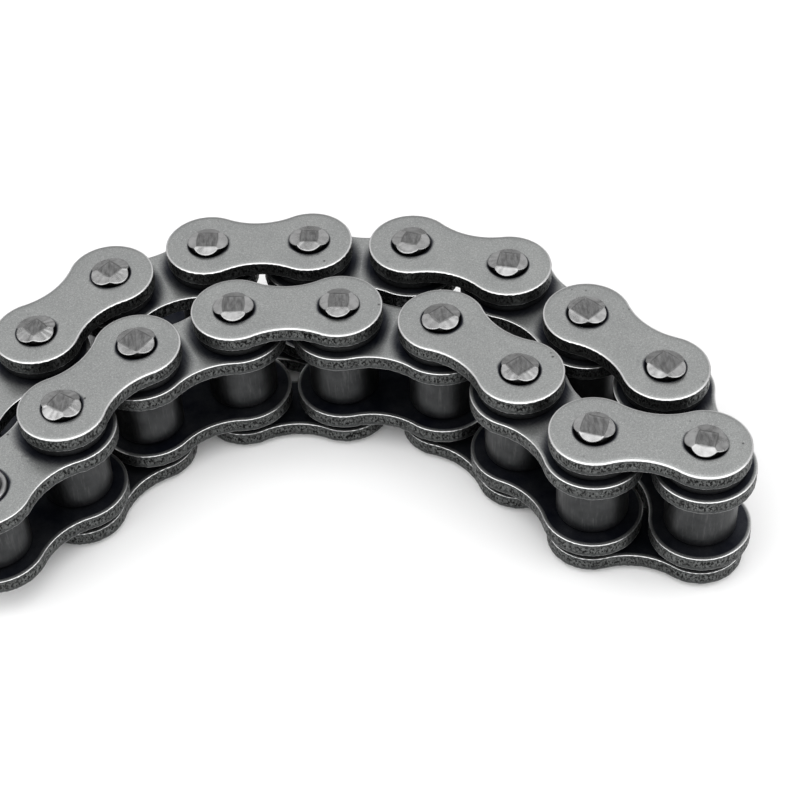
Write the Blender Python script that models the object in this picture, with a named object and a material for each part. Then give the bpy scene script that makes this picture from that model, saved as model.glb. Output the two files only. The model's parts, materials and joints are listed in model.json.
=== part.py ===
"""A sealed roller chain of 12.7 mm pitch, cut to a short length and folded back on itself.

The chain lies on its side, so every pin stands upright and every link turns in the floor's plane.
Inner links (two plates, two bushings, two rollers) alternate with outer links (two plates, two pins).
Each link is laid out along +X from its first pin, and one empty on its hinge axis places it.
"""
import math

import bmesh
import bpy
from mathutils import Matrix, Vector

# Driving dimensions of the chain, in metres
PITCH = 0.0127
PLATE_THICKNESS = 0.0020
INNER_WIDTH = 0.0080
SEAL_SPACE = 0.00135
INNER_END_RADIUS = 0.0060
INNER_WAIST = 0.00455
OUTER_END_RADIUS = 0.0053
OUTER_WAIST = 0.0038
ROLLER_RADIUS = 0.004255
BUSHING_RADIUS = 0.00305
PIN_RADIUS = 0.002225
HEAD_RADIUS = 0.0025
HEAD_TOP_RADIUS = 0.0019
HEAD_HEIGHT = 0.0008
SEAL_OUTER_RADIUS = 0.0050
SEAL_INNER_RADIUS = 0.0037
BUSHING_RIM = 0.00035

# Running clearances, in metres
FIT_GAP = 0.00015
HEAD_GAP = 0.0001

# The pose at rest: the first link's heading, then the turn at each hinge pin, in degrees
FIRST_HEADING = 42
TURNS = (6, -28, -22, -5, -16, -24, -3, -26, -118, -39, 6, 31, 14, 26, 25, -5)
ROOT_LINK = 8

# The inner and the outer link with this number have loose pins, bushings and seal rings
LOOSE_NUMBER = 5

# Facets of the round stretches
END_STEPS = 10
WAIST_STEPS = 4
BORE_SIDES = 12
ROLLER_SIDES = 24
SEAL_SIDES = 20

# Heights of the stack, from the floor that the lower pin heads stand on
LOWER_OUTER = HEAD_HEIGHT
LOWER_INNER = LOWER_OUTER + PLATE_THICKNESS + SEAL_SPACE
ROLLER_FLOOR = LOWER_INNER + PLATE_THICKNESS
UPPER_INNER = ROLLER_FLOOR + INNER_WIDTH
UPPER_OUTER = UPPER_INNER + PLATE_THICKNESS + SEAL_SPACE
PLATE_TOP = UPPER_OUTER + PLATE_THICKNESS


def clear_scene():
    """Removes everything from the scene."""
    for obj in list(bpy.data.objects):
        bpy.data.objects.remove(obj, do_unlink=True)


def make_material(name, colour, roughness, metallic):
    """A Principled BSDF material."""
    material = bpy.data.materials.new(name)
    material.use_nodes = True
    shader = material.node_tree.nodes["Principled BSDF"]
    shader.inputs["Base Color"].default_value = (*colour, 1.0)
    shader.inputs["Roughness"].default_value = roughness
    shader.inputs["Metallic"].default_value = metallic
    return material


def bore_radius(shaft_radius):
    """Corner radius of a faceted bore whose flats clear a shaft all round."""
    return (shaft_radius + FIT_GAP) / math.cos(math.pi / BORE_SIDES)


def arc(centre_x, centre_y, radius, start, end, steps):
    """Points along an arc, both ends included."""
    points = []
    for i in range(steps + 1):
        angle = start + (end - start) * i / steps
        points.append((centre_x + radius * math.cos(angle), centre_y + radius * math.sin(angle)))
    return points


def plate_outline(end_radius, waist):
    """A figure-of-eight link plate: two round ends joined by two hollow waist arcs."""
    half = PITCH / 2
    hollow = (half**2 + waist**2 - end_radius**2) / (2 * (end_radius - waist))
    offset = waist + hollow
    tangent = math.atan2(offset, half)
    low, high = tangent - math.pi, -tangent
    outline = arc(0, 0, end_radius, tangent, 2 * math.pi - tangent, END_STEPS)
    outline += arc(half, -offset, hollow, -low, -high, WAIST_STEPS)[1:-1]
    outline += arc(PITCH, 0, end_radius, low, -low, END_STEPS)
    outline += arc(half, offset, hollow, high, low, WAIST_STEPS)[1:-1]
    return outline


def mesh_from(bm, name):
    """A mesh from closed bmesh geometry, with its faces pointing out."""
    bmesh.ops.recalc_face_normals(bm, faces=bm.faces)
    mesh = bpy.data.meshes.new(name)
    bm.to_mesh(mesh)
    bm.free()
    return mesh


def prism(name, outline, bottom, top):
    """An outline extruded from one height to another."""
    bm = bmesh.new()
    face = bm.faces.new([bm.verts.new((x, y, bottom)) for x, y in outline])
    raised = bmesh.ops.extrude_face_region(bm, geom=[face])
    corners = [item for item in raised["geom"] if isinstance(item, bmesh.types.BMVert)]
    bmesh.ops.translate(bm, verts=corners, vec=(0, 0, top - bottom))
    return mesh_from(bm, name)


def turned(name, profile, sides, centre_x=0.0):
    """A solid of revolution about an upright axis, from its (radius, height) profile, bottom to top."""
    bm = bmesh.new()
    rings = []
    for radius, height in profile:
        ring = arc(centre_x, 0, radius, 0, 2 * math.pi, sides)[:-1]
        rings.append([bm.verts.new((x, y, height)) for x, y in ring])
    for lower, upper in zip(rings, rings[1:]):
        for i in range(sides):
            j = (i + 1) % sides
            bm.faces.new((lower[i], lower[j], upper[j], upper[i]))
    bm.faces.new(rings[0])
    bm.faces.new(rings[-1])
    return mesh_from(bm, name)


def tube(name, outer, inner, outer_sides, inner_sides, height):
    """A plain tube standing on its origin: an outer barrel with a faceted bore through it."""
    barrel = turned(name, [(outer, 0), (outer, height)], outer_sides)
    return combine(barrel, [turned("bore", [(inner, -height), (inner, 2 * height)], inner_sides)], "DIFFERENCE")


def combine(mesh, others, operation):
    """Joins or cuts a mesh with others, one after another, and returns the result."""
    base = bpy.data.objects.new(mesh.name, mesh)
    bpy.context.collection.objects.link(base)
    tools = []
    for other in others:
        tool = bpy.data.objects.new(other.name, other)
        bpy.context.collection.objects.link(tool)
        tool.hide_render = True
        tool.display_type = "WIRE"
        modifier = base.modifiers.new(operation.lower(), "BOOLEAN")
        modifier.solver = "EXACT"
        modifier.operation = operation
        modifier.object = tool
        tools.append(tool)
    graph = bpy.context.evaluated_depsgraph_get()
    result = bpy.data.meshes.new_from_object(base.evaluated_get(graph))
    result.name = mesh.name
    for obj in [base] + tools:
        bpy.data.objects.remove(obj, do_unlink=True)
    return result


def bores(radius):
    """Two cutters, one on each pin of a link."""
    profile = [(radius, -PITCH), (radius, 2 * PITCH)]
    return [turned("bore", profile, BORE_SIDES, x) for x in (0.0, PITCH)]


def plate_mesh(name, end_radius, waist, hole):
    """A link plate standing on its origin, with a hole on each pin unless hole is None."""
    plate = prism(name, plate_outline(end_radius, waist), 0, PLATE_THICKNESS)
    return plate if hole is None else combine(plate, bores(hole), "DIFFERENCE")


def bushing_profile():
    """A bushing's outside, from just below the lower inner plate to just above the upper one."""
    top = 2 * PLATE_THICKNESS + INNER_WIDTH + BUSHING_RIM
    return [(BUSHING_RADIUS, -BUSHING_RIM), (BUSHING_RADIUS, top)]


def pin_profile():
    """A riveted pin's outside: a head under the lower outer plate and a head over the upper one."""
    top = PLATE_TOP - LOWER_OUTER
    return [
        (HEAD_TOP_RADIUS, -HEAD_HEIGHT),
        (HEAD_RADIUS, -HEAD_GAP),
        (PIN_RADIUS, -HEAD_GAP),
        (PIN_RADIUS, top + HEAD_GAP),
        (HEAD_RADIUS, top + HEAD_GAP),
        (HEAD_TOP_RADIUS, top + HEAD_HEIGHT),
    ]


def bushed_plate_mesh():
    """The lower inner plate with its two bushings pressed into it, as one piece."""
    plate = plate_mesh("bushed_plate", INNER_END_RADIUS, INNER_WAIST, None)
    posts = [turned("post", bushing_profile(), BORE_SIDES, x) for x in (0.0, PITCH)]
    solid = combine(plate, posts, "UNION")
    return combine(solid, bores(bore_radius(PIN_RADIUS)), "DIFFERENCE")


def pinned_plate_mesh():
    """The lower outer plate with its two pins riveted into it, as one piece."""
    plate = plate_mesh("pinned_plate", OUTER_END_RADIUS, OUTER_WAIST, None)
    pins = [turned("post", pin_profile(), BORE_SIDES, x) for x in (0.0, PITCH)]
    return combine(plate, pins, "UNION")


def bushing_mesh():
    """A loose bushing, with the bore that its pin turns in."""
    solid = turned("bushing", bushing_profile(), BORE_SIDES)
    return combine(solid, bores(bore_radius(PIN_RADIUS))[:1], "DIFFERENCE")


def seal_mesh():
    """A seal ring, a little thinner than the space between an inner and an outer plate."""
    height = SEAL_SPACE - 2 * FIT_GAP
    crown = SEAL_OUTER_RADIUS
    shoulder = crown - height / 3
    profile = [(shoulder, 0), (crown, height / 3), (crown, 2 * height / 3), (shoulder, height)]
    ring = turned("seal", profile, SEAL_SIDES)
    hole = turned("bore", [(SEAL_INNER_RADIUS, -height), (SEAL_INNER_RADIUS, 2 * height)], SEAL_SIDES)
    return combine(ring, [hole], "DIFFERENCE")


def headings():
    """The direction of every link, in radians."""
    angles = [math.radians(FIRST_HEADING)]
    for turn in TURNS:
        angles.append(angles[-1] + math.radians(turn))
    return angles


def pin_places(angles):
    """The place of every pin axis, with the whole chain's box centred on the origin."""
    places = [Vector((0.0, 0.0))]
    for angle in angles:
        places.append(places[-1] + PITCH * Vector((math.cos(angle), math.sin(angle))))
    corners = []
    for k, angle in enumerate(angles):
        inner = k % 2 == 0
        outline = plate_outline(*((INNER_END_RADIUS, INNER_WAIST) if inner else (OUTER_END_RADIUS, OUTER_WAIST)))
        turn = Matrix.Rotation(angle, 2)
        corners += [places[k] + turn @ Vector(point) for point in outline]
    middle = Vector((0.0, 0.0))
    for axis in (0, 1):
        values = [corner[axis] for corner in corners]
        middle[axis] = (min(values) + max(values)) / 2
    return [place - middle for place in places]


def add_piece(name, mesh, material, parent, x, z):
    """One named piece on a link, at a place along the link and a height."""
    obj = bpy.data.objects.new(name, mesh)
    bpy.context.collection.objects.link(obj)
    if not mesh.materials:
        mesh.materials.append(material)
    mesh.shade_smooth()
    mesh.set_sharp_from_angle(angle=math.radians(35))
    obj.parent = parent
    obj.location = (x, 0, z)


def link_empty(name, k, places, angles):
    """An empty on the hinge that carries link k, and how far along the link its first pin is from it."""
    before_root = k < ROOT_LINK
    hinge = places[k + 1] if before_root else places[k]
    empty = bpy.data.objects.new(name, None)
    bpy.context.collection.objects.link(empty)
    empty.location = (hinge.x, hinge.y, 0)
    empty.rotation_euler = (0, 0, angles[k])
    return empty, (-PITCH if before_root else 0.0)


def add_inner_link(number, empty, first, meshes, paints):
    """Two inner plates, two bushings and two rollers."""
    name = f"inner_link_{number}"
    add_piece(f"{name}_upper_plate", meshes["inner_plate"], paints["plate"], empty, first, UPPER_INNER)
    if number == LOOSE_NUMBER:
        add_piece(f"{name}_lower_plate", meshes["inner_plate"], paints["plate"], empty, first, LOWER_INNER)
        add_piece(f"{name}_bushing_a", meshes["bushing"], paints["bushing"], empty, first, LOWER_INNER)
        add_piece(f"{name}_bushing_b", meshes["bushing"], paints["bushing"], empty, first + PITCH, LOWER_INNER)
    else:
        add_piece(f"{name}_bushed_plate", meshes["bushed_plate"], paints["plate"], empty, first, LOWER_INNER)
    height = ROLLER_FLOOR + FIT_GAP
    add_piece(f"{name}_roller_a", meshes["roller"], paints["roller"], empty, first, height)
    add_piece(f"{name}_roller_b", meshes["roller"], paints["roller"], empty, first + PITCH, height)


def add_outer_link(number, empty, first, meshes, paints):
    """Two outer plates and two pins."""
    name = f"outer_link_{number}"
    add_piece(f"{name}_upper_plate", meshes["outer_plate"], paints["plate"], empty, first, UPPER_OUTER)
    if number != LOOSE_NUMBER:
        add_piece(f"{name}_pinned_plate", meshes["pinned_plate"], paints["plate"], empty, first, LOWER_OUTER)
        return
    add_piece(f"{name}_lower_plate", meshes["outer_plate"], paints["plate"], empty, first, LOWER_OUTER)
    lower_seal = LOWER_OUTER + PLATE_THICKNESS + FIT_GAP
    upper_seal = UPPER_INNER + PLATE_THICKNESS + FIT_GAP
    for letter, x in (("a", first), ("b", first + PITCH)):
        add_piece(f"{name}_pin_{letter}", meshes["pin"], paints["pin"], empty, x, LOWER_OUTER)
        add_piece(f"{name}_lower_seal_{letter}", meshes["seal"], paints["seal"], empty, x, lower_seal)
        add_piece(f"{name}_upper_seal_{letter}", meshes["seal"], paints["seal"], empty, x, upper_seal)


def make_meshes():
    """One mesh for each kind of piece; the copies share it."""
    roller_length = INNER_WIDTH - 2 * FIT_GAP
    roller_bore = bore_radius(BUSHING_RADIUS)
    return {
        "inner_plate": plate_mesh("inner_plate", INNER_END_RADIUS, INNER_WAIST, roller_bore),
        "outer_plate": plate_mesh("outer_plate", OUTER_END_RADIUS, OUTER_WAIST, bore_radius(PIN_RADIUS)),
        "bushed_plate": bushed_plate_mesh(),
        "pinned_plate": pinned_plate_mesh(),
        "bushing": bushing_mesh(),
        "pin": turned("pin", pin_profile(), BORE_SIDES),
        "roller": tube("roller", ROLLER_RADIUS, roller_bore, ROLLER_SIDES, BORE_SIDES, roller_length),
        "seal": seal_mesh(),
    }


def make_materials():
    """The finishes, one for each kind of piece."""
    return {
        "plate": make_material("plate_steel", (0.30, 0.31, 0.31), 0.38, 1.0),
        "bushing": make_material("bushing_steel", (0.22, 0.22, 0.23), 0.35, 1.0),
        "roller": make_material("roller_steel", (0.12, 0.125, 0.13), 0.42, 1.0),
        "pin": make_material("pin_steel", (0.35, 0.35, 0.36), 0.30, 1.0),
        "seal": make_material("seal_rubber", (0.015, 0.016, 0.02), 0.60, 0.0),
    }


def build_chain():
    """Every link in order, from one cut end round the fold to the other."""
    clear_scene()
    meshes = make_meshes()
    paints = make_materials()
    angles = headings()
    places = pin_places(angles)
    for k in range(len(angles)):
        number = k // 2 + 1
        kind = "inner" if k % 2 == 0 else "outer"
        empty, first = link_empty(f"{kind}_link_{number}_hinge", k, places, angles)
        add_link = add_inner_link if kind == "inner" else add_outer_link
        add_link(number, empty, first, meshes, paints)


build_chain()
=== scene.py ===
"""A sealed roller chain folded back on itself on a pale studio floor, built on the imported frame.

Every CAD node is replaced by finer pieces: rounded and sheared plates, staked pins, chamfered
bushings, scored rollers and squashed seal rings. Lengths are in metres unless a name says
otherwise.
"""

import json
import math

import bmesh
import bpy
import numpy as np
from mathutils import Matrix, Vector


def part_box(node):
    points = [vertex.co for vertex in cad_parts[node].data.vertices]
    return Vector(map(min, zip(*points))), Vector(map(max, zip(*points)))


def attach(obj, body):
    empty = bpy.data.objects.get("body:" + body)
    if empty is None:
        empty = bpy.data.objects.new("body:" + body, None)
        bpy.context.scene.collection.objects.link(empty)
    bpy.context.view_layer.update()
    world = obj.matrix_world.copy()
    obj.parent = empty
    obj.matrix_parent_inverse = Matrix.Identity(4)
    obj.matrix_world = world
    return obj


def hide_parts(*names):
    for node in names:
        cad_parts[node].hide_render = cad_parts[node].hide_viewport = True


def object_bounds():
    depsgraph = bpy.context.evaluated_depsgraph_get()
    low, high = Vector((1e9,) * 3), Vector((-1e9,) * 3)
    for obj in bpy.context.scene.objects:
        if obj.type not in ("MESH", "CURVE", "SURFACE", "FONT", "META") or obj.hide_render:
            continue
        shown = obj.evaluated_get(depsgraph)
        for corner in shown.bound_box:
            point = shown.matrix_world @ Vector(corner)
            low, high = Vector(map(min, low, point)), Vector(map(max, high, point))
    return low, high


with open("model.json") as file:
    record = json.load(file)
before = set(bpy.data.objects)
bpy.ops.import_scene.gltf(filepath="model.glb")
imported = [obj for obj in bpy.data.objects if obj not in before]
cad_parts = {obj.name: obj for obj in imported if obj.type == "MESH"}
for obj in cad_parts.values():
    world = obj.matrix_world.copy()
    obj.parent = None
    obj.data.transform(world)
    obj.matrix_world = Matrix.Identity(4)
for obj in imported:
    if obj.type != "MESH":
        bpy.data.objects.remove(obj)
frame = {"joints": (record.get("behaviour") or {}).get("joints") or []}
CAD_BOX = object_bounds()
MM = 0.001

# The chain's links, as the frame has them
INNER_LINKS = 9
OUTER_LINKS = 8
LOOSE_NUMBER = 5

# Link plates
INNER_END_RADIUS = 6.0 * MM
INNER_WAIST = 4.55 * MM
OUTER_END_RADIUS = 5.3 * MM
OUTER_WAIST = 3.8 * MM
OUTLINE_SPACING = 0.17 * MM
BOTTOM_ROUNDING = 0.13 * MM
ROUNDING_STEPS = 4
ROLL_STEPS = 5
SIDE_STEPS = 9
SHOW_EDGE = {"roll": 0.80 * MM, "dome": 0.085 * MM, "radius": 0.15 * MM}
WORK_EDGE = {"roll": 0.50 * MM, "dome": 0.035 * MM, "radius": 0.10 * MM}
# Inner and outer radius of the painted shade round each seal on an inner plate's top
HALO_RADII = (5.4 * MM, 6.9 * MM)
CAP_RINGS = 8
SPLIT_STEPS = 26
HOLE_CHAMFER = 0.12 * MM
HOLE_MEETING = 1.0 * MM

# The torn side: waves' number, longest and shortest length, and how deep they go
TEAR_COUNT = 40
TEAR_WAVES = (1.1 * MM, 0.36 * MM)
TEAR_DEPTH = 0.06 * MM
BURR_COUNT = 30
BURR_WAVES = (3 * MM, 0.5 * MM)
BURR_DROP = 0.09 * MM

# Insets as shares of the top edge's radius: the side's end, and the two sides of the painted
# highlight along the rounded edge; the bottom rounding gets a weaker painted highlight
SIDE_INSET = 0.1
HIGHLIGHT_FROM = 0.05
HIGHLIGHT_TO = 1.6
BOTTOM_HIGHLIGHT = 0.3

# Pins and their staked heads
PIN_RADIUS = 2.22 * MM
HEAD_SQUARE = 1.20 * MM
HEAD_SLOPE = 0.27
LOBE_OFFSET = 0.80 * MM
LOBE_RADIUS = 1.66 * MM
LIP_THICKNESS = 0.12 * MM
NECK_HEIGHT = 0.05 * MM
HEAD_RELIEF = 0.022 * MM
PIN_SIDES = 144
COUNTERSINK = 0.20 * MM
# How far out from a pin hole the painted shadow of the head's lip reaches on the plate
SHADE_RING = 0.42 * MM
SQUARE_TURN_DEG = 9
RELIEF_WAVES = (2, 3, 5, 7, 9, 12, 17)
PIN_SEED = 500

# Bushings, rollers and seal rings
BUSHING_BORE = 2.36 * MM
BUSHING_CHAMFER = 0.22 * MM
ROLLER_ROUNDING = 0.45 * MM
ROLLER_ROWS = 8
ROLLER_BORE = 3.2 * MM
ROUND_SIDES = 96
SEAL_SECTION_STEPS = 20
SEAL_FLATNESS = 0.72
SEAL_BORE = 3.5 * MM
SEAL_GAP = 0.02 * MM

# The studio
FLOOR_REACH = 3.0
WORLD_LIGHT = 0.36
OVERHEAD_WATTS = 14.0
BACK_WATTS = 1.75

# The camera, calibrated in pitches from the second pin axis
CAMERA_LENS_MM = 99.0
CAMERA_DOWN_DEG = 46.3501
CAMERA_ROLL_DEG = -3.4265
CAMERA_SIDE = 3.39875
CAMERA_BACK = -14.99350
CAMERA_RISE = 14.454
HEAD_PLANE_OFFSET = 0.38 * MM


def pin_axes():
    """The plan positions of the chain's pin axes in order, from the rollers' own spin joints."""
    where = {joint["name"]: joint["pos_m"] for joint in frame["joints"]}
    axes = []
    for number in range(1, INNER_LINKS + 1):
        for letter in "ab":
            axes.append(Vector(where[f"inner_link_{number}_roller_{letter}_spin"][:2]))
    return axes


AXES = pin_axes()
PITCH = (AXES[1] - AXES[0]).length


def levels(node):
    """The lowest and highest height of a CAD node."""
    low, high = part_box(node)
    return low.z, high.z


def half_outline(end_radius, waist):
    """Half a link plate's outline, round the first pin: points and outward normals."""
    half = PITCH / 2
    hollow = (half**2 + waist**2 - end_radius**2) / (2 * (end_radius - waist))
    centre_y = waist + hollow
    tangent = math.atan2(centre_y, half)
    sweep = math.pi / 2 - tangent
    waist_count = max(4, round(hollow * sweep / OUTLINE_SPACING))
    end_count = round(end_radius * 2 * (math.pi - tangent) / OUTLINE_SPACING)
    a = np.linspace(0, sweep, waist_count, endpoint=False)
    direction = np.stack([-np.sin(a), -np.cos(a)], 1)
    upper = np.array([half, centre_y]) + hollow * direction
    b = np.linspace(tangent, 2 * math.pi - tangent, end_count + 1)
    round_end = np.stack([np.cos(b), np.sin(b)], 1)
    flip = np.array([1, -1])
    points = np.concatenate([upper, end_radius * round_end, (upper * flip)[::-1]])
    normals = np.concatenate([-direction, round_end, (-direction * flip)[::-1]])
    return points, normals


def ripple(rng, along, count, longest, shortest):
    """Smooth random relief from 0 to 1, periodic along the outline."""
    around = along.max() + OUTLINE_SPACING
    total = np.zeros(len(along))
    for _ in range(count):
        turns = np.round(around / rng.uniform(shortest, longest))
        phase = rng.uniform(0, 2 * math.pi)
        rng.random()  # passed over, so that every later draw keeps its place
        total = total + np.sin(2 * math.pi * turns * along / around + phase)
    total = total / math.sqrt(count / 2)
    return np.clip(0.5 + 0.3 * total, 0, 1)


class Piece:
    """Vertices and faces of one closed piece in its link's own frame, with its per-vertex marks."""

    def __init__(self):
        self.points = []
        self.faces = []
        self.marks = {name: [] for name in ("side", "along", "rise", "edge", "wear", "grime")}
        self.count = 0

    def add(self, points, **marks):
        """Adds points and returns their numbers."""
        points = np.asarray(points, float).reshape(-1, 3)
        first = self.count
        self.points.append(points)
        self.count += len(points)
        for name, parts in self.marks.items():
            mark = np.asarray(marks.get(name, 0.0), float)
            parts.append(np.broadcast_to(mark, (len(points),)))
        return np.arange(first, self.count)

    def strip(self, lower, upper):
        """Quads between two closed rows of the same number of points."""
        lower, upper = np.append(lower, lower[0]), np.append(upper, upper[0])
        self.faces += np.stack([lower[:-1], lower[1:], upper[1:], upper[:-1]], 1).tolist()

    def fan(self, ring, centre):
        """Triangles from a ring to one centre point."""
        following = np.roll(ring, -1)
        self.faces += [(int(a), int(b), int(centre)) for a, b in zip(ring, following)]

    def build(self, name, link, material, body, slot, nodes):
        """The finished object, welded, placed on its link and riding on its body."""
        points = np.concatenate(self.points)
        origin, heading = link_place(link)
        c, s = math.cos(heading), math.sin(heading)
        turned = points.copy()
        turned[:, 0] = origin.x + c * points[:, 0] - s * points[:, 1]
        turned[:, 1] = origin.y + s * points[:, 0] + c * points[:, 1]
        mesh = bpy.data.meshes.new(name)
        mesh.from_pydata(turned.tolist(), [], self.faces)
        for mark, parts in self.marks.items():
            layer = mesh.attributes.new(mark, "FLOAT", "POINT")
            layer.data.foreach_set("value", np.concatenate(parts).astype(np.float32))
        bm = bmesh.new()
        bm.from_mesh(mesh)
        bmesh.ops.remove_doubles(bm, verts=bm.verts, dist=1e-7)
        bmesh.ops.recalc_face_normals(bm, faces=bm.faces)
        bm.to_mesh(mesh)
        bm.free()
        mesh.shade_smooth()
        mesh.set_sharp_from_angle(angle=math.radians(50))
        mesh.materials.append(material)
        obj = bpy.data.objects.new(name, mesh)
        bpy.context.scene.collection.objects.link(obj)
        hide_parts(*nodes)
        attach(obj, body)
        return obj


def link_place(link):
    """A link's first pin axis and heading in plan. Even links are inner, odd links outer ones."""
    step = AXES[link + 1] - AXES[link]
    return AXES[link], math.atan2(step.y, step.x)


def rounding(radius, height, rising):
    """(inset, height) pairs round a quarter turn, from below up to the side or on to the top."""
    angles = np.linspace(0, math.pi / 2, ROUNDING_STEPS + 1)
    if rising:
        return [(radius * (1 - math.cos(a)), height + radius * math.sin(a)) for a in angles]
    return [(radius * (1 - math.sin(a)), height + radius * (1 - math.cos(a))) for a in angles]


def edge_profile(low, high, edge):
    """(inset, height) pairs from a plate's lower face up its side and over the rolled top edge."""
    roll, dome, radius = edge["roll"], edge["dome"], edge["radius"]
    shoulder = high - dome - radius
    profile = rounding(BOTTOM_ROUNDING, low, False)
    sides = np.linspace(low + BOTTOM_ROUNDING, shoulder, SIDE_STEPS + 2)[1:-1]
    profile += [(0.0, z) for z in sides]
    profile += rounding(radius, shoulder, True)
    for inset in np.linspace(radius, roll, ROLL_STEPS + 1)[1:]:
        profile.append((inset, high - dome * ((roll - inset) / (roll - radius)) ** 2))
    return profile


def plate(
    name, link, end_radius, waist, low, high, hole, sink, edge, face_shades, halo, seed, **belonging
):
    """A blanked link plate: rolled top edge, torn side face, and a chamfered hole on each pin.

    Its pair of face shades darkens its upper and lower faces; halo darkens its top round each seal;
    both are painted shade.
    """
    rng = np.random.default_rng(seed)
    piece = Piece()
    points, normals = half_outline(end_radius, waist)
    turned = np.array([PITCH, 0]) - points
    ring = np.concatenate([points[:-1], turned[:-1]])
    outward = np.concatenate([normals[:-1], -normals[:-1]])
    step = np.linalg.norm(np.diff(ring, axis=0, append=ring[:1]), axis=1)
    along = np.concatenate([[0], np.cumsum(step)[:-1]])
    roll, radius = edge["roll"], edge["radius"]
    line_end = HIGHLIGHT_TO * radius
    tear = [ripple(rng, along, TEAR_COUNT, *TEAR_WAVES) for _ in range(3)]
    burr = ripple(rng, along, BURR_COUNT, *BURR_WAVES)
    rows = []
    for i, (inset, z) in enumerate(edge_profile(low, high, edge)):
        share = (z - low) / (high - low)
        blend = np.interp(share, [0, 0.5, 1], [0, 1, 2])
        first = int(min(blend, 1))
        relief = tear[first] * (1 - blend + first) + tear[first + 1] * (blend - first)
        on_side = float(inset < SIDE_INSET * radius)
        # The edge mark is a painted highlight: a bright line over the rounded top edge, weaker on
        # the bottom rounding
        painted_highlight = float(share > 0.5 and HIGHLIGHT_FROM * radius < inset < line_end)
        painted_highlight += BOTTOM_HIGHLIGHT * (0 < i < ROUNDING_STEPS)
        depth = TEAR_DEPTH * relief * on_side
        xy = ring - outward * (inset + depth)[:, None]
        # Painted shade: faces turned into the chain darken, and the top darkens round each seal,
        # fading in over the roll
        grime = face_shades[1]
        if share > 0.5:
            near = [seal_shade_at(xy - np.array([x, 0])) * mark for x, mark in zip((0.0, PITCH), halo)]
            shade_level = np.maximum(face_shades[0], np.maximum(*near))
            grime = shade_level * min(1, max(0, inset - line_end) / (roll - line_end))
        z_row = np.full(len(ring), z) + BURR_DROP * burr * max(0.0, 1 - share * 3)
        marks = {"side": on_side, "along": along, "rise": share, "edge": painted_highlight, "grime": grime}
        rows.append(piece.add(np.column_stack([xy, z_row]), **marks))
    for lower, upper in zip(rows, rows[1:]):
        piece.strip(lower, upper)
    cap(piece, rows[-1], len(points) - 1, high, hole, sink, True, face_shades[0], halo)
    cap(piece, rows[0], len(points) - 1, low, hole, sink, False, face_shades[1], (0, 0))
    return piece.build(name, link, **belonging)


def seal_shade_at(offsets):
    """How much painted shade falls round a seal, from 1 at the ring to 0 further out."""
    share = (HALO_RADII[1] - np.linalg.norm(offsets, axis=1)) / (HALO_RADII[1] - HALO_RADII[0])
    share = np.clip(share, 0, 1)
    return share * share * (3 - 2 * share)


def cap(piece, rim, half_count, z, hole, sink, upper, grime, halo):
    """A flat face with two holes, in two fans of rings that meet on the line between the pins."""
    all_points = np.concatenate(piece.points)
    rim_points = all_points[rim]
    into = -1 if upper else 1
    for side, centre in ((0, 0.0), (1, PITCH)):
        start = side * half_count
        number = (start + np.arange(half_count + 1)) % len(rim)
        arc_points = rim_points[number]
        first, last = arc_points[-1], arc_points[0]
        t = np.linspace(0, 1, SPLIT_STEPS + 1)[1:-1, None]
        split = first + (last - first) * t
        loop = np.concatenate([arc_points, split])
        heights = loop[:, 2]
        direction = loop[:, :2] - np.array([centre, 0])
        angle = np.arctan2(direction[:, 1], direction[:, 0])
        spoke = np.stack([np.cos(angle), np.sin(angle)], 1)
        outer = loop[:, :2]
        inner = np.array([centre, 0]) + spoke * (hole + sink)
        reach = np.linalg.norm(outer - inner, axis=1)
        shade = seal_shade_at(outer - np.array([centre, 0])) * halo[side]
        previous = piece.add(np.column_stack([outer, heights]), grime=np.maximum(grime, shade))
        stops = [np.full(len(loop), share) for share in np.linspace(1, 0, CAP_RINGS + 1)[1:-1]]
        # The last rings before the hole are darkened: painted shadow of the pin head's lip
        stops.append(np.minimum(SHADE_RING / reach, 0.1))
        stops.append(np.minimum(SHADE_RING / reach, 0.1) * 0.4)
        stops.append(np.zeros(len(loop)))
        shade_level = [grime] * (CAP_RINGS - 1) + [max(grime, 0.15), 1.0, 1.0]
        for share, ring_shade in zip(stops, shade_level):
            xy = inner + (outer - inner) * share[:, None]
            level = z + (heights - z) * share**4
            shade = seal_shade_at(xy - np.array([centre, 0])) * halo[side]
            current = piece.add(np.column_stack([xy, level]), grime=np.maximum(ring_shade, shade))
            piece.strip(previous, current) if upper else piece.strip(current, previous)
            previous = current
        # The hole's wall is fully darkened: painted shade
        wall = np.array([centre, 0]) + spoke * hole
        for level in (z + into * sink, z + into * HOLE_MEETING):
            current = piece.add(np.column_stack([wall, np.full(len(wall), level)]), grime=1.0)
            piece.strip(previous, current) if upper else piece.strip(current, previous)
            previous = current


def turned_piece(profile, centre_x):
    """A piece turned about an upright axis from a closed profile of (radius, height) pairs."""
    piece = Piece()
    angle = np.linspace(0, 2 * math.pi, ROUND_SIDES, endpoint=False)
    rows = []
    for radius, height in profile:
        xy = np.stack([centre_x + radius * np.cos(angle), radius * np.sin(angle)], 1)
        rows.append(piece.add(np.column_stack([xy, np.full(ROUND_SIDES, height)])))
    for lower, upper in zip(rows, rows[1:] + rows[:1]):
        piece.strip(lower, upper)
    return piece


def quarter(radius, centre_r, centre_z, start_deg, end_deg, steps=5):
    """(radius, height) pairs round part of a circle in a turned profile."""
    angles = np.radians(np.linspace(start_deg, end_deg, steps + 1))
    return [(centre_r + radius * math.cos(a), centre_z + radius * math.sin(a)) for a in angles]


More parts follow.
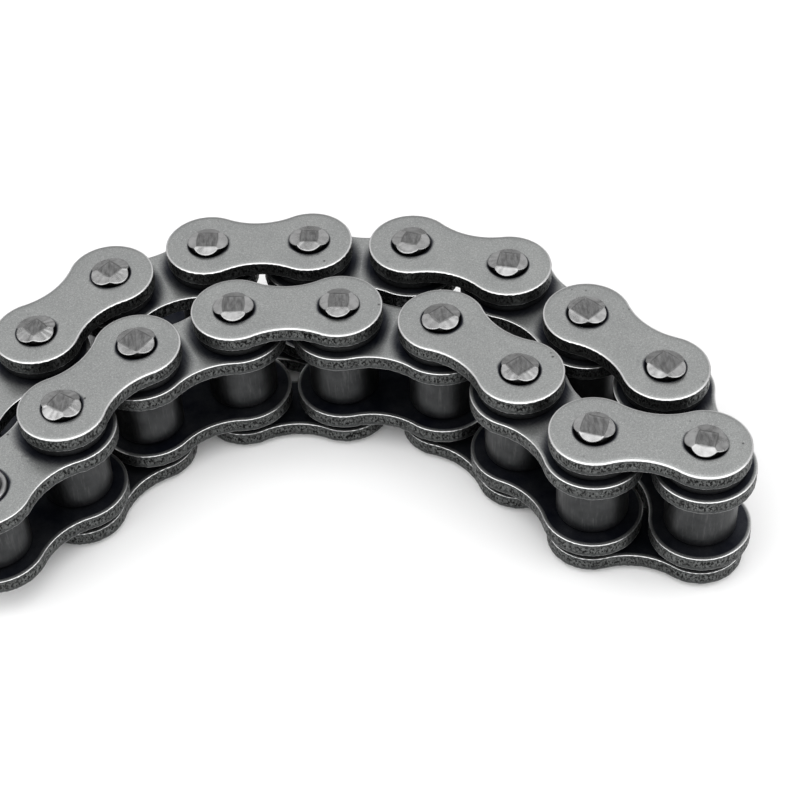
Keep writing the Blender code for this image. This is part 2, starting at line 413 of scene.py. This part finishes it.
def bushing(name, link, centre_x, low, high, outer, **belonging):
    """A bushing, chamfered at both rims, with its bore."""
    c = BUSHING_CHAMFER
    profile = [(BUSHING_BORE, low + c / 2), (BUSHING_BORE + c / 2, low)]
    profile += quarter(c, outer - c, low + c, -90, 0)
    profile += quarter(c, outer - c, high - c, 0, 90)
    profile += [(BUSHING_BORE + c / 2, high), (BUSHING_BORE, high - c / 2)]
    return turned_piece(profile, centre_x).build(name, link, **belonging)


def roller(name, link, centre_x, low, high, outer, inner, **belonging):
    """A roller with rounded ends and a bore that clears its bushing."""
    c = ROLLER_ROUNDING
    profile = [(inner, low + c / 3), (inner + c / 3, low)]
    profile += quarter(c, outer - c, low + c, -90, 0)
    profile += [(outer, z) for z in np.linspace(low + c, high - c, ROLLER_ROWS)[1:-1]]
    profile += quarter(c, outer - c, high - c, 0, 90)
    profile += [(inner + c / 3, high), (inner, high - c / 3)]
    return turned_piece(profile, centre_x).build(name, link, **belonging)


def seal(name, link, centre_x, low, high, outer, inner, **belonging):
    """A rubber ring squashed between an inner and an outer plate."""
    middle_r, half_r = (outer + inner) / 2, (outer - inner) / 2
    middle_z, half_z = (low + high) / 2, (high - low) / 2
    profile = []
    for a in np.linspace(0, 2 * math.pi, SEAL_SECTION_STEPS, endpoint=False):
        c, s = math.cos(a), math.sin(a)
        across = math.copysign(abs(c) ** SEAL_FLATNESS, c)
        up = math.copysign(abs(s) ** SEAL_FLATNESS, s)
        profile.append((middle_r + half_r * across, middle_z + half_z * up))
    return turned_piece(profile, centre_x).build(name, link, **belonging)


def head_rows(piece, rng, centre_x, plate_face, tip, up):
    """The rows of a staked head, from its neck out over the lip and in to the middle of its end."""
    turn = math.radians(rng.uniform(-SQUARE_TURN_DEG, SQUARE_TURN_DEG))
    slopes = HEAD_SLOPE * rng.uniform(0.75, 1.25, 4)
    square = HEAD_SQUARE * rng.uniform(0.78, 1.18)
    height = abs(tip - plate_face)
    angle = turn + np.linspace(0, 2 * math.pi, PIN_SIDES, endpoint=False)
    facet = np.round((angle - turn) / (math.pi / 2)).astype(int) % 4
    swing = (angle - turn + math.pi / 4) % (math.pi / 2) - math.pi / 4
    offset = (LOBE_OFFSET * rng.uniform(0.85, 1.15, 4))[facet]
    rim = offset * np.cos(swing) + np.sqrt(LOBE_RADIUS**2 - (offset * np.sin(swing)) ** 2)
    relief = sum(
        rng.uniform(-1, 1) * np.sin(k * angle + rng.uniform(0, 2 * math.pi)) for k in RELIEF_WAVES
    )
    corner = np.minimum(square / np.cos(swing), rim - 0.16 * MM)
    rows = []

    def level(radius):
        past = np.maximum(radius * np.cos(swing) - square, 0)
        dent = HEAD_RELIEF * (relief - 2.5) / 3 * np.minimum(past / (0.3 * MM), 1)
        return height - past * slopes[facet] + np.minimum(dent, 0)

    def row(radius, z, wear=0.0, grime=0.0):
        xy = np.stack([centre_x + radius * np.cos(angle), radius * np.sin(angle)], 1)
        z = plate_face + (z if up else -z)
        rows.append(piece.add(np.column_stack([xy, z]), wear=wear, grime=grime))

    flat = np.ones(PIN_SIDES)
    lip = level(rim)
    # Neck and lip underside are darkened: painted shadow under the lip
    row(PIN_RADIUS * flat, NECK_HEIGHT * flat, grime=1.0)
    row((PIN_RADIUS - 0.05 * MM) * flat, lip - LIP_THICKNESS - 0.05 * MM, grime=1.0)
    row(rim - 0.06 * MM, lip - LIP_THICKNESS, grime=0.7)
    row(rim, lip - LIP_THICKNESS * 0.6)
    row(rim, lip - LIP_THICKNESS * 0.3)
    row(rim - 0.05 * MM, level(rim - 0.05 * MM))
    for share in (0.9, 0.7, 0.45, 0.2):
        radius = corner + (rim - corner) * share
        row(radius, level(radius))
    # The crease round the end's square is half darkened: painted shade
    row(corner + 0.035 * MM, level(corner + 0.035 * MM) - 0.015 * MM, 0.5, 0.5)
    row(corner - 0.02 * MM, height - 0.003 * MM * flat, 0.8)
    row(corner - 0.10 * MM, height - 0.02 * MM * flat, 1.0)
    for share in (0.7, 0.45, 0.2):
        dents = HEAD_RELIEF * 0.3 * np.minimum(relief, 0)
        row(corner * share, height - 0.03 * MM * flat + dents, 1.0)
    return rows, height - 0.03 * MM


def pin(name, link, centre_x, lower_face, upper_face, low, high, seed, **belonging):
    """A riveted pin: a shaft between two staked heads."""
    rng = np.random.default_rng(seed)
    piece = Piece()
    above, top = head_rows(piece, rng, centre_x, upper_face, high, True)
    below, bottom = head_rows(piece, rng, centre_x, lower_face, low, False)
    piece.strip(below[0], above[0])
    for rows, flip in ((above, False), (below, True)):
        for outer_row, inner_row in zip(rows, rows[1:]):
            piece.strip(*((inner_row, outer_row) if flip else (outer_row, inner_row)))
    piece.fan(above[-1], piece.add([centre_x, 0, upper_face + top], wear=1.0)[0])
    piece.fan(below[-1][::-1], piece.add([centre_x, 0, lower_face - bottom], wear=1.0)[0])
    return piece.build(name, link, **belonging)


class Nodes:
    """A small builder for a material's node tree."""

    def __init__(self, name):
        self.material = bpy.data.materials.new(name)
        self.material.use_nodes = True
        self.tree = self.material.node_tree
        self.shader = self.tree.nodes["Principled BSDF"]

    def add(self, kind, inputs=None, **settings):
        """A node with its settings; each input is a value or another node's output socket."""
        made = self.tree.nodes.new("ShaderNode" + kind)
        for key, value in settings.items():
            setattr(made, key, value)
        for key, value in (inputs or {}).items():
            if isinstance(value, bpy.types.NodeSocket):
                self.tree.links.new(value, made.inputs[key])
            else:
                made.inputs[key].default_value = value
        return made

    def place(self, scale=(1, 1, 1)):
        """Object coordinates, stretched."""
        where = self.add("TexCoord").outputs["Object"]
        return self.add("Mapping", {"Vector": where, "Scale": scale}).outputs[0]

    def mark(self, name):
        """One of the mesh's per-vertex marks."""
        return self.add("Attribute", attribute_name=name).outputs["Fac"]

    def noise(self, where, scale, detail=3.0, roughness=0.55):
        """Noise from 0 to 1."""
        found = {"Vector": where, "Scale": scale, "Detail": detail, "Roughness": roughness}
        return self.add("TexNoise", found).outputs["Fac"]

    def spread(self, value, low, high, to_low, to_high):
        """A value's range from low to high, remapped and clamped."""
        found = {"Value": value, "From Min": low, "From Max": high}
        return self.add("MapRange", found | {"To Min": to_low, "To Max": to_high}).outputs[0]

    def math(self, operation, a, b):
        """Arithmetic on two values."""
        return self.add("Math", {0: a, 1: b}, operation=operation).outputs[0]

    def mix(self, factor, a, b):
        """A blend of two colours."""
        return self.add("Mix", {0: factor, 6: a, 7: b}, data_type="RGBA").outputs[2]

    def blend(self, factor, a, b):
        """A blend of two values."""
        return self.add("Mix", {0: factor, 2: a, 3: b}, data_type="FLOAT").outputs[0]

    def set(self, **sockets):
        """Links or sets the shader's inputs by name, with _ for a space."""
        for key, value in sockets.items():
            socket = self.shader.inputs[key.replace("_", " ")]
            if isinstance(value, bpy.types.NodeSocket):
                self.tree.links.new(value, socket)
            else:
                socket.default_value = value
        return self.material

    def bump(self, height, depth):
        """A normal from a height from 0 to 1 of a given depth."""
        found = {"Height": height, "Distance": depth, "Strength": 1.0}
        return self.add("Bump", found).outputs[0]


def grey(value, warmth=0.0):
    """A near-neutral colour."""
    return (value * (1 + warmth), value, value * (1 - warmth), 1.0)


def plate_steel():
    """Tumbled plate steel: fine grain, stains and pits on its faces, torn and darkened sides, with
    painted shade and a painted highlight along the rounded edges.
    """
    n = Nodes("plate_steel")
    where = n.place()
    stain = n.noise(where, 210, 5, 0.6)
    cloud = n.noise(where, 55, 3, 0.5)
    grain = n.noise(where, 4200, 3, 0.7)
    cells = n.add("TexVoronoi", {"Vector": where, "Scale": 620}).outputs["Distance"]
    gate = n.spread(n.noise(where, 330, 2, 0.5), 0.52, 0.62, 0, 1)
    pit = n.math("MULTIPLY", n.spread(cells, 0.06, 0.13, 1, 0), gate)
    tone = n.spread(stain, 0.3, 0.7, 0, 1)
    tone = n.mix(tone, (0.385, 0.400, 0.395, 1), (0.475, 0.490, 0.480, 1))
    tone = n.mix(n.spread(cloud, 0.35, 0.7, 0, 0.4), tone, grey(0.33, -0.01))
    tone = n.mix(n.spread(grain, 0.35, 0.65, 0, 0.6), tone, grey(0.27))
    speck = n.noise(where, 9000, 2, 0.6)
    tone = n.mix(n.spread(speck, 0.5, 0.7, 0, 0.5), tone, grey(0.75))
    tone = n.mix(n.math("MULTIPLY", pit, 0.8), tone, grey(0.06))
    side = n.mark("side")
    height = n.add("SeparateXYZ", {0: n.add("TexCoord").outputs["Object"]}).outputs[2]
    apart = n.add("SeparateXYZ", {0: where}).outputs[0]
    wall = {0: n.mark("along"), 1: n.math("MULTIPLY", height, 0.8), 2: apart}
    wall = n.add("CombineXYZ", wall).outputs[0]
    streak = n.noise(wall, 2900, 3, 0.6)
    blotch = n.noise(where, 900, 3, 0.6)
    rise = n.mark("rise")
    band_top, band_foot = n.spread(rise, 0.88, 0.74, 0, 1), n.spread(rise, 0.18, 0.32, 0, 1)
    band = n.math("MULTIPLY", band_top, band_foot)
    torn = n.mix(n.spread(streak, 0.42, 0.55, 0, 1), grey(0.004), (0.135, 0.140, 0.138, 1))
    torn = n.mix(n.spread(blotch, 0.40, 0.60, 0, 0.45), torn, grey(0.040))
    torn = n.mix(band, (0.070, 0.073, 0.073, 1), torn)
    # Painted shade: the shade mark darkens faces to a bluish near-black, slightly varied by the
    # stains
    grime = n.math("MULTIPLY", n.mark("grime"), n.spread(stain, 0.35, 0.75, 1.0, 0.88))
    tone = n.mix(grime, tone, (0.013, 0.015, 0.024, 1))
    # Painted highlight: the edge mark paints a bright line over the rounded edges
    painted_highlight = n.mark("edge")
    colour = n.mix(painted_highlight, n.mix(side, tone, torn), grey(0.80))
    face_rough = n.blend(grime, n.spread(stain, 0.3, 0.7, 0.38, 0.32), 0.5)
    rough = n.blend(side, face_rough, n.spread(streak, 0.4, 0.62, 0.62, 0.36))
    rough = n.blend(painted_highlight, rough, 0.30)
    fine = n.math("MULTIPLY", n.math("SUBTRACT", grain, pit), n.math("SUBTRACT", 1.0, side))
    relief = n.math("ADD", fine, n.math("MULTIPLY", n.math("MULTIPLY", streak, side), 4.0))
    normal = n.bump(relief, 0.010 * MM)
    return n.set(Base_Color=colour, Roughness=rough, Metallic=1.0, Normal=normal)


def bushing_steel():
    """Case-hardened bushing steel with fine turning marks."""
    n = Nodes("bushing_steel")
    rings = n.noise(n.place((1, 1, 12)), 900, 3, 0.6)
    stain = n.noise(n.place(), 500, 4, 0.6)
    colour = n.mix(n.spread(stain, 0.3, 0.7, 0, 1), grey(0.30), grey(0.45))
    rough = n.spread(rings, 0.3, 0.7, 0.28, 0.42)
    return n.set(Base_Color=colour, Roughness=rough, Metallic=1.0, Normal=n.bump(rings, 0.008 * MM))


def roller_steel():
    """Dark oiled roller steel with fine upright scores."""
    n = Nodes("roller_steel")
    score = n.noise(n.place((1, 1, 0.10)), 3000, 3, 0.65)
    stain = n.noise(n.place(), 420, 4, 0.6)
    colour = n.mix(n.spread(stain, 0.3, 0.7, 0, 1), grey(0.036, -0.03), grey(0.062, -0.02))
    colour = n.mix(n.spread(score, 0.55, 0.72, 0, 0.6), colour, grey(0.10))
    rough = n.spread(score, 0.3, 0.7, 0.48, 0.34)
    return n.set(Base_Color=colour, Roughness=rough, Metallic=1.0, Normal=n.bump(score, 0.012 * MM))


def pin_steel():
    """Hard pin steel: bright pressed facets round a scuffed dark end."""
    n = Nodes("pin_steel")
    where = n.place()
    wear = n.mark("wear")
    scuff = n.noise(n.place((1, 0.3, 1)), 2600, 4, 0.65)
    stain = n.noise(where, 800, 4, 0.6)
    bright = n.mix(n.spread(stain, 0.3, 0.7, 0, 1), grey(0.33), grey(0.52))
    dark = n.mix(n.spread(scuff, 0.35, 0.65, 0, 1), grey(0.13), grey(0.27))
    colour = n.mix(wear, bright, dark)
    # Painted shade: the neck, the lip's underside and the crease round the end darken to near-black
    colour = n.mix(n.mark("grime"), colour, grey(0.012))
    bright_rough = n.spread(stain, 0.3, 0.7, 0.24, 0.34)
    rough = n.blend(wear, bright_rough, n.spread(scuff, 0.35, 0.65, 0.5, 0.36))
    normal = n.bump(n.math("ADD", n.math("MULTIPLY", scuff, wear), stain), 0.012 * MM)
    return n.set(Base_Color=colour, Roughness=rough, Metallic=1.0, Normal=normal)


def seal_rubber():
    """Black greased rubber."""
    n = Nodes("seal_rubber")
    speck = n.noise(n.place(), 2400, 3, 0.6)
    colour = n.mix(n.spread(speck, 0.4, 0.7, 0, 1), grey(0.005, -0.05), grey(0.012, -0.08))
    rough = n.spread(speck, 0.3, 0.7, 0.38, 0.55)
    normal = n.bump(speck, 0.01 * MM)
    return n.set(Base_Color=colour, Roughness=rough, Specular_IOR_Level=0.14, Normal=normal)


MATERIALS = {
    "plate": plate_steel(),
    "bushing": bushing_steel(),
    "roller": roller_steel(),
    "pin": pin_steel(),
    "seal": seal_rubber(),
}


def owner(kind, body, *nodes):
    """What a piece rides on, stands for and is made of."""
    slot = kind + ("_rubber" if kind == "seal" else "_steel")
    return {"material": MATERIALS[kind], "body": body, "slot": slot, "nodes": nodes}


LOWER_OUTER = levels(f"outer_link_{LOOSE_NUMBER}_lower_plate")
UPPER_OUTER = levels(f"outer_link_{LOOSE_NUMBER}_upper_plate")
LOWER_INNER = levels(f"inner_link_{LOOSE_NUMBER}_lower_plate")
UPPER_INNER = levels(f"inner_link_{LOOSE_NUMBER}_upper_plate")
BUSHING = levels(f"inner_link_{LOOSE_NUMBER}_bushing_a")
PIN = levels(f"outer_link_{LOOSE_NUMBER}_pin_a")
ROLLER = levels("inner_link_1_roller_a")


def round_radius(node):
    """A round CAD node's radius."""
    low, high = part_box(node)
    return (high.x - low.x) / 2


BUSHING_RADIUS = round_radius(f"inner_link_{LOOSE_NUMBER}_bushing_a")
ROLLER_RADIUS = round_radius("inner_link_1_roller_a")
SEAL_RADIUS = round_radius(f"outer_link_{LOOSE_NUMBER}_lower_seal_a")


def build_inner_link(number):
    """Two plates, two bushings and two rollers."""
    link, name = 2 * (number - 1), f"inner_link_{number}"
    loose = number == LOOSE_NUMBER
    joined = f"{name}_bushed_plate"
    lower_node = f"{name}_lower_plate" if loose else joined
    shape = (INNER_END_RADIUS, INNER_WAIST)
    hole = (BUSHING_RADIUS, HOLE_CHAMFER, WORK_EDGE)
    halo = (0 if number == 1 else 1, 0 if number == INNER_LINKS else 1)
    upper = owner("plate", name, f"{name}_upper_plate")
    lower = owner("plate", name, lower_node)
    seed = 4 * link
    # The (top, underside) pairs are painted shade: faces turned into the chain are darkened
    plate(f"{name}_upper", link, *shape, *UPPER_INNER, *hole, (0.0, 1.0), halo, seed, **upper)
    plate(f"{name}_lower", link, *shape, *LOWER_INNER, *hole, (1.0, 0.6), (0, 0), seed + 1, **lower)
    for letter, x in (("a", 0.0), ("b", PITCH)):
        tube = owner("bushing", name, f"{name}_bushing_{letter}" if loose else joined)
        bushing(f"{name}_tube_{letter}", link, x, *BUSHING, BUSHING_RADIUS, **tube)
        node = f"{name}_roller_{letter}"
        barrel = owner("roller", node, node)
        roller(f"{name}_barrel_{letter}", link, x, *ROLLER, ROLLER_RADIUS, ROLLER_BORE, **barrel)


def build_outer_link(number):
    """Two plates, two pins and four seal rings."""
    link, name = 2 * number - 1, f"outer_link_{number}"
    loose = number == LOOSE_NUMBER
    joined = f"{name}_pinned_plate"
    lower_node = f"{name}_lower_plate" if loose else joined
    shape = (OUTER_END_RADIUS, OUTER_WAIST)
    hole = (PIN_RADIUS, COUNTERSINK)
    upper = owner("plate", name, f"{name}_upper_plate")
    lower = owner("plate", name, lower_node)
    seed = 4 * link
    # The (top, underside) pairs are painted shade: faces turned into the chain are darkened
    shown, worked = (SHOW_EDGE, (0.0, 1.0), (0, 0), seed), (WORK_EDGE, (1.0, 0.0), (0, 0), seed + 1)
    plate(f"{name}_upper", link, *shape, *UPPER_OUTER, *hole, *shown, **upper)
    plate(f"{name}_lower", link, *shape, *LOWER_OUTER, *hole, *worked, **lower)
    spaces = {
        "lower": (LOWER_OUTER[1] + SEAL_GAP, LOWER_INNER[0] - SEAL_GAP),
        "upper": (UPPER_INNER[1] + SEAL_GAP, UPPER_OUTER[0] - SEAL_GAP),
    }
    faces = (LOWER_OUTER[0], UPPER_OUTER[1])
    for i, (letter, x) in enumerate((("a", 0.0), ("b", PITCH))):
        rivet = owner("pin", name, f"{name}_pin_{letter}" if loose else joined)
        pin(f"{name}_rivet_{letter}", link, x, *faces, *PIN, PIN_SEED + 2 * link + i, **rivet)
        for level, space in spaces.items():
            ring = owner("seal", name, f"{name}_{level}_seal_{letter}" if loose else joined)
            seal(f"{name}_{level}_ring_{letter}", link, x, *space, SEAL_RADIUS, SEAL_BORE, **ring)


for number in range(1, INNER_LINKS + 1):
    build_inner_link(number)
for number in range(1, OUTER_LINKS + 1):
    build_outer_link(number)


# The studio: a pale floor, a broad softbox overhead, a weaker one behind, and the camera
def build_floor():
    """A large plain floor that the lower pin heads stand on."""
    bm = bmesh.new()
    corners = ((-1, -1), (1, -1), (1, 1), (-1, 1))
    bm.faces.new([bm.verts.new((x * FLOOR_REACH, y * FLOOR_REACH, 0)) for x, y in corners])
    mesh = bpy.data.meshes.new("floor")
    bm.to_mesh(mesh)
    bm.free()
    floor = bpy.data.objects.new("floor", mesh)
    floor.location.z = CAD_BOX[0].z
    bpy.context.scene.collection.objects.link(floor)
    n = Nodes("floor_white")
    speck = n.noise(n.place(), 30, 2, 0.5)
    colour = n.mix(speck, grey(0.95), grey(0.97))
    mesh.materials.append(n.set(Base_Color=colour, Roughness=0.9, Specular_IOR_Level=0.1))


def add_softbox(name, place, aim, size_x, size_y, strength):
    """A rectangular area lamp, aimed at a point."""
    lamp = bpy.data.lights.new(name, "AREA")
    lamp.shape = "RECTANGLE"
    lamp.size = size_x
    lamp.size_y = size_y
    lamp.energy = strength
    obj = bpy.data.objects.new(name, lamp)
    obj.location = place
    obj.rotation_euler = (Vector(aim) - Vector(place)).to_track_quat("-Z", "Y").to_euler()
    bpy.context.scene.collection.objects.link(obj)


def build_lights():
    """The world's even white light and the softboxes."""
    world = bpy.data.worlds.new("studio")
    bpy.context.scene.world = world
    world.use_nodes = True
    world.node_tree.nodes["Background"].inputs[0].default_value = (1.0, 1.0, 1.0, 1)
    world.node_tree.nodes["Background"].inputs[1].default_value = WORLD_LIGHT
    add_softbox("overhead", (0.0, -0.45, 0.62), (0, -0.45, 0), 2.0, 1.3, OVERHEAD_WATTS)
    add_softbox("back", (0.0, 0.85, 0.88), (0, 0.0, 0), 1.5, 0.8, BACK_WATTS)


def build_camera():
    """The camera at the photographed viewing angle."""
    data = bpy.data.cameras.new("camera")
    data.lens = CAMERA_LENS_MM
    data.clip_start = 0.01
    obj = bpy.data.objects.new("camera", data)
    bpy.context.scene.collection.objects.link(obj)
    anchor = AXES[1] + PITCH * Vector((CAMERA_SIDE, CAMERA_BACK))
    height = UPPER_OUTER[1] + HEAD_PLANE_OFFSET + CAMERA_RISE * PITCH
    tilt = Matrix.Rotation(math.radians(90 - CAMERA_DOWN_DEG), 4, "X")
    roll = Matrix.Rotation(math.radians(CAMERA_ROLL_DEG), 4, "Z")
    obj.matrix_world = Matrix.Translation((anchor.x, anchor.y, height)) @ tilt @ roll
    bpy.context.scene.camera = obj


build_floor()
build_lights()
build_camera()
bpy.context.scene.view_settings.view_transform = "Standard"

bpy.context.view_layer.update()
